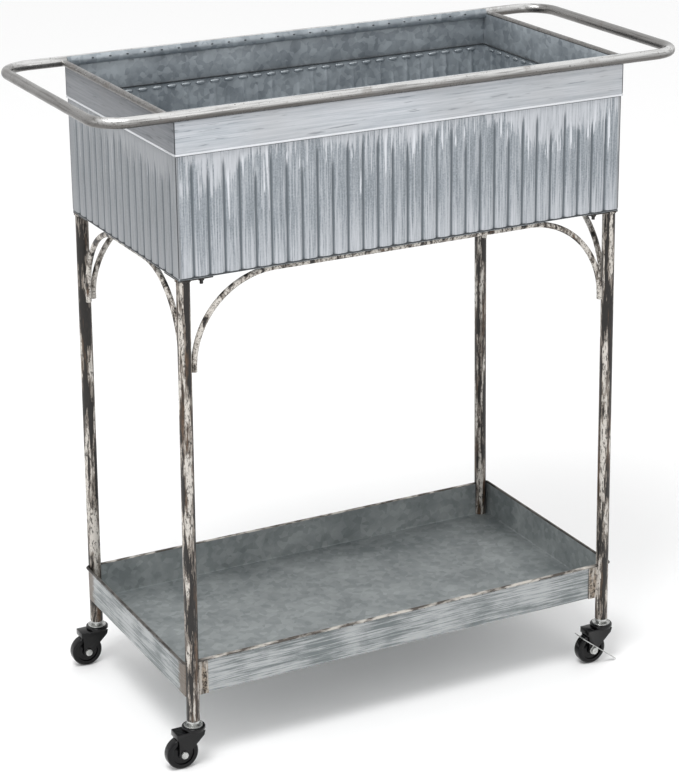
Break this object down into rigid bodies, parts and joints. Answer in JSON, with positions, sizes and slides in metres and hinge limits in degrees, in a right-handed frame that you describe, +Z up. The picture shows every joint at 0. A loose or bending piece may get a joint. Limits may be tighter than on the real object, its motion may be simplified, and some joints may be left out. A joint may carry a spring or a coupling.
{
  "type": "raised planter cart on casters",
  "caption": "Rectangular sheet-metal planter box with fluted sides on tube legs, with end handles, arched braces, a low tray and swivel casters.",
  "frame": {"origin": "on the floor under the middle of the cart", "axes": "+X along the cart, from the unbraked casters' end to the braked ones'; +Y from the front to the back; +Z up"},
  "size_m": [0.92, 0.402, 0.9595],
  "materials": {
    "worn_rail_steel": "satin",
    "whitewashed_collar": "satin",
    "whitewashed_fluted_sheet": "satin",
    "galvanised_sheet": "satin",
    "black_bracket_steel": "satin",
    "distressed_black_steel": "satin",
    "rusted_bracket_steel": "rough",
    "zinc_plated_steel": "satin",
    "black_fork_steel": "gloss",
    "black_polypropylene": "satin",
    "nylon_socket": "satin"
  },
  "bodies": {
    "frame": {"brace_back": "distressed_black_steel", "brace_front": "distressed_black_steel", "brace_left": "distressed_black_steel", "brace_right": "distressed_black_steel", "caster_stem_back_left": "zinc_plated_steel", "caster_stem_back_right": "zinc_plated_steel", "caster_stem_front_left": "zinc_plated_steel", "caster_stem_front_right": "zinc_plated_steel", "collar_back": "whitewashed_collar", "collar_front": "whitewashed_collar", "collar_left": "whitewashed_collar", "collar_right": "whitewashed_collar", "fluted_wall_back": "whitewashed_fluted_sheet", "fluted_wall_front": "whitewashed_fluted_sheet", "fluted_wall_left": "whitewashed_fluted_sheet", "fluted_wall_right": "whitewashed_fluted_sheet", "handle_rail_left": "worn_rail_steel", "handle_rail_right": "worn_rail_steel", "leg_back_left": "distressed_black_steel", "leg_back_right": "distressed_black_steel", "leg_front_left": "distressed_black_steel", "leg_front_right": "distressed_black_steel", "leg_plate_back_left": "black_bracket_steel", "leg_plate_back_right": "black_bracket_steel", "leg_plate_front_left": "black_bracket_steel", "leg_plate_front_right": "black_bracket_steel", "planter_floor": "galvanised_sheet", "plate_studs": "black_bracket_steel", "race_cup_back_left": "zinc_plated_steel", "race_cup_back_right": "zinc_plated_steel", "race_cup_front_left": "zinc_plated_steel", "race_cup_front_right": "zinc_plated_steel", "rail_sleeves": "zinc_plated_steel", "stem_sockets": "nylon_socket", "tray_bracket_back_left": "rusted_bracket_steel", "tray_bracket_back_right": "rusted_bracket_steel", "tray_bracket_front_left": "rusted_bracket_steel", "tray_bracket_front_right": "rusted_bracket_steel", "tray_pan": "galvanised_sheet"},
    "caster_front_left": {"caster_fork_front_left": "black_fork_steel", "caster_axle_front_left": "zinc_plated_steel", "race_balls_front_left": "zinc_plated_steel"},
    "wheel_front_left": {"caster_wheel_front_left": "black_polypropylene"},
    "caster_front_right": {"caster_fork_front_right": "black_fork_steel", "caster_axle_front_right": "zinc_plated_steel", "race_balls_front_right": "zinc_plated_steel"},
    "wheel_front_right": {"caster_wheel_front_right": "black_polypropylene"},
    "brake_front_right": {"brake_lever_front_right": "zinc_plated_steel"},
    "caster_back_left": {"caster_fork_back_left": "black_fork_steel", "caster_axle_back_left": "zinc_plated_steel", "race_balls_back_left": "zinc_plated_steel"},
    "wheel_back_left": {"caster_wheel_back_left": "black_polypropylene"},
    "caster_back_right": {"caster_fork_back_right": "black_fork_steel", "caster_axle_back_right": "zinc_plated_steel", "race_balls_back_right": "zinc_plated_steel"},
    "wheel_back_right": {"caster_wheel_back_right": "black_polypropylene"},
    "brake_back_right": {"brake_lever_back_right": "zinc_plated_steel"}
  },
  "joints": [
    {"name": "swivel_front_left", "type": "hinge", "parent": "frame", "child": "caster_front_left", "pos_m": [-0.3449, -0.1834, 0.057], "axis": [0, 0, 1], "continuous": true},
    {"name": "roll_front_left", "type": "hinge", "parent": "caster_front_left", "child": "wheel_front_left", "pos_m": [-0.3649, -0.1834, 0.024], "axis": [0, 1, 0], "continuous": true},
    {"name": "swivel_front_right", "type": "hinge", "parent": "frame", "child": "caster_front_right", "pos_m": [0.3449, -0.1834, 0.057], "axis": [0, 0, 1], "continuous": true},
    {"name": "roll_front_right", "type": "hinge", "parent": "caster_front_right", "child": "wheel_front_right", "pos_m": [0.3249, -0.1834, 0.024], "axis": [0, 1, 0], "continuous": true},
    {"name": "brake_front_right", "type": "hinge", "parent": "caster_front_right", "child": "brake_front_right", "pos_m": [0.3249, -0.1949, 0.024], "axis": [0, -1, 0], "range_deg": [0, 25]},
    {"name": "swivel_back_left", "type": "hinge", "parent": "frame", "child": "caster_back_left", "pos_m": [-0.3449, 0.1834, 0.057], "axis": [0, 0, 1], "continuous": true},
    {"name": "roll_back_left", "type": "hinge", "parent": "caster_back_left", "child": "wheel_back_left", "pos_m": [-0.3649, 0.1834, 0.024], "axis": [0, 1, 0], "continuous": true},
    {"name": "swivel_back_right", "type": "hinge", "parent": "frame", "child": "caster_back_right", "pos_m": [0.3449, 0.1834, 0.057], "axis": [0, 0, 1], "continuous": true},
    {"name": "roll_back_right", "type": "hinge", "parent": "caster_back_right", "child": "wheel_back_right", "pos_m": [0.3249, 0.1834, 0.024], "axis": [0, 1, 0], "continuous": true},
    {"name": "brake_back_right", "type": "hinge", "parent": "caster_back_right", "child": "brake_back_right", "pos_m": [0.3249, 0.1719, 0.024], "axis": [0, -1, 0], "range_deg": [0, 25]}
  ]
}
